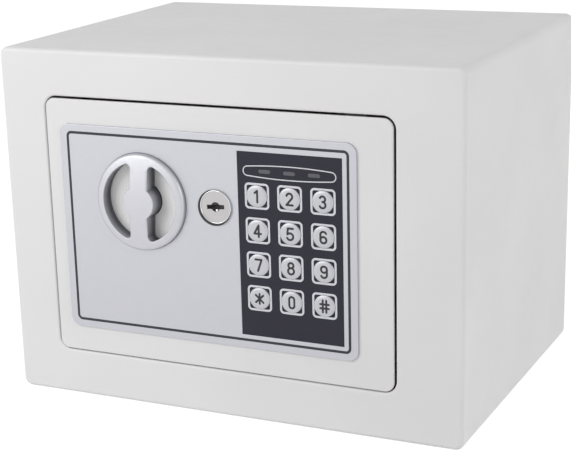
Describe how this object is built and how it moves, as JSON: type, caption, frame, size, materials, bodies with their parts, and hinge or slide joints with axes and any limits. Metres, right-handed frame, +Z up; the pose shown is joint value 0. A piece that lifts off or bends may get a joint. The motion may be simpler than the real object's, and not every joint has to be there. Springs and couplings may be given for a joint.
{
  "type": "small electronic safe",
  "caption": "Small steel electronic safe: flush hinged door, recessed turning knob, override key lock, keypad on a silver panel and sliding bolts.",
  "frame": {"origin": "middle of the base, on the face that the safe stands on", "axes": "+Z up, +Y to the back of the safe, +X to the right seen from the front"},
  "size_m": [0.23, 0.1755, 0.17],
  "materials": {
    "white_paint": "fine textured semi-gloss powder coat",
    "silver_panel": "satin silver",
    "silver_knob": "satin silver plating",
    "silver_key": "satin silver with dark figures",
    "dark_plastic": "satin",
    "lens_plastic": "dark tinted",
    "cream_plastic": "satin",
    "chrome": "polished",
    "satin_metal": "satin",
    "plated_steel": "zinc plated",
    "board": "solder mask",
    "black_plastic": "moulded",
    "red_plastic": "moulded",
    "cell_sleeve": "printed sleeve",
    "felt": "pressed felt"
  },
  "bodies": {
    "case": {"case_shell": "white_paint", "back_panel": "white_paint", "door_jamb": "white_paint", "hinge_bracket_upper": "plated_steel", "hinge_bracket_lower": "plated_steel", "floor_mat": "felt"},
    "door": {"door_plate": "white_paint", "door_tray": "white_paint", "hinge_pin_upper": "plated_steel", "hinge_pin_lower": "plated_steel", "lock_panel": "silver_panel", "keypad_plate": "dark_plastic", "indicator_lens_left": "lens_plastic", "indicator_lens_middle": "lens_plastic", "indicator_lens_right": "lens_plastic", "circuit_board": "board", "buzzer": "black_plastic", "knob_well": "cream_plastic", "lock_chassis": "plated_steel", "carriage_clip_upper": "plated_steel", "carriage_clip_lower": "plated_steel", "solenoid": "plated_steel", "plunger_spring": "plated_steel", "lock_barrel": "chrome", "barrel_nut": "plated_steel", "battery_holder": "black_plastic", "cell_1": "cell_sleeve", "cell_2": "cell_sleeve", "cell_3": "cell_sleeve", "cell_4": "cell_sleeve", "back_cover": "white_paint", "cover_screw_upper_left": "plated_steel", "cover_screw_upper_right": "plated_steel", "cover_screw_lower_left": "plated_steel", "cover_screw_lower_right": "plated_steel"},
    "knob": {"knob": "silver_knob", "knob_spindle": "plated_steel", "crank_arm": "plated_steel"},
    "bolts": {"bolt_carriage": "plated_steel", "bolt_upper": "chrome", "bolt_lower": "chrome"},
    "plunger": {"solenoid_plunger": "plated_steel"},
    "override_plug": {"lock_plug": "satin_metal", "plug_cam": "plated_steel"},
    "key_1": {"key_1": "silver_key"},
    "key_2": {"key_2": "silver_key"},
    "key_3": {"key_3": "silver_key"},
    "key_4": {"key_4": "silver_key"},
    "key_5": {"key_5": "silver_key"},
    "key_6": {"key_6": "silver_key"},
    "key_7": {"key_7": "silver_key"},
    "key_8": {"key_8": "silver_key"},
    "key_9": {"key_9": "silver_key"},
    "key_star": {"key_star": "silver_key"},
    "key_0": {"key_0": "silver_key"},
    "key_hash": {"key_hash": "silver_key"},
    "reset_button": {"reset_button": "red_plastic"},
    "battery_lid": {"battery_lid": "black_plastic"}
  },
  "joints": [
    {"name": "door_swing", "type": "hinge", "parent": "case", "child": "door", "pos_m": [0.0648, -0.0792, 0.08528], "axis": [0, 0, 1], "range_deg": [0, 100]},
    {"name": "knob_turn", "type": "hinge", "parent": "door", "child": "knob", "pos_m": [-0.04065, -0.08, 0.1011], "axis": [0, -1, 0], "range_deg": [0, 60]},
    {"name": "bolt_slide", "type": "slide", "parent": "door", "child": "bolts", "axis": [-1, 0, 0], "range_m": [0, 0.012]},
    {"name": "plunger_slide", "type": "slide", "parent": "door", "child": "plunger", "axis": [0, 0, 1], "range_m": [0, 0.0045], "deforming": ["plunger_spring"]},
    {"name": "override_turn", "type": "hinge", "parent": "door", "child": "override_plug", "pos_m": [-0.0022, -0.08, 0.1019], "axis": [0, 1, 0], "range_deg": [0, 90]},
    {"name": "key_1_press", "type": "slide", "parent": "door", "child": "key_1", "axis": [0, 1, 0], "range_m": [0, 0.0008], "stiffness_N_per_m": 1500},
    {"name": "key_2_press", "type": "slide", "parent": "door", "child": "key_2", "axis": [0, 1, 0], "range_m": [0, 0.0008], "stiffness_N_per_m": 1500},
    {"name": "key_3_press", "type": "slide", "parent": "door", "child": "key_3", "axis": [0, 1, 0], "range_m": [0, 0.0008], "stiffness_N_per_m": 1500},
    {"name": "key_4_press", "type": "slide", "parent": "door", "child": "key_4", "axis": [0, 1, 0], "range_m": [0, 0.0008], "stiffness_N_per_m": 1500},
    {"name": "key_5_press", "type": "slide", "parent": "door", "child": "key_5", "axis": [0, 1, 0], "range_m": [0, 0.0008], "stiffness_N_per_m": 1500},
    {"name": "key_6_press", "type": "slide", "parent": "door", "child": "key_6", "axis": [0, 1, 0], "range_m": [0, 0.0008], "stiffness_N_per_m": 1500},
    {"name": "key_7_press", "type": "slide", "parent": "door", "child": "key_7", "axis": [0, 1, 0], "range_m": [0, 0.0008], "stiffness_N_per_m": 1500},
    {"name": "key_8_press", "type": "slide", "parent": "door", "child": "key_8", "axis": [0, 1, 0], "range_m": [0, 0.0008], "stiffness_N_per_m": 1500},
    {"name": "key_9_press", "type": "slide", "parent": "door", "child": "key_9", "axis": [0, 1, 0], "range_m": [0, 0.0008], "stiffness_N_per_m": 1500},
    {"name": "key_star_press", "type": "slide", "parent": "door", "child": "key_star", "axis": [0, 1, 0], "range_m": [0, 0.0008], "stiffness_N_per_m": 1500},
    {"name": "key_0_press", "type": "slide", "parent": "door", "child": "key_0", "axis": [0, 1, 0], "range_m": [0, 0.0008], "stiffness_N_per_m": 1500},
    {"name": "key_hash_press", "type": "slide", "parent": "door", "child": "key_hash", "axis": [0, 1, 0], "range_m": [0, 0.0008], "stiffness_N_per_m": 1500},
    {"name": "reset_press", "type": "slide", "parent": "door", "child": "reset_button", "axis": [0, -1, 0], "range_m": [0, 0.0015], "stiffness_N_per_m": 800},
    {"name": "lid_pull", "type": "slide", "parent": "door", "child": "battery_lid", "axis": [0, 1, 0], "range_m": [0, 0.02]}
  ],
  "couplings": [
    {"joint": "knob_turn", "follows": "bolt_slide", "rad_per_m": 87.266},
    {"joint": "plunger_slide", "follows": "bolt_slide", "ratio": 0.375}
  ]
}
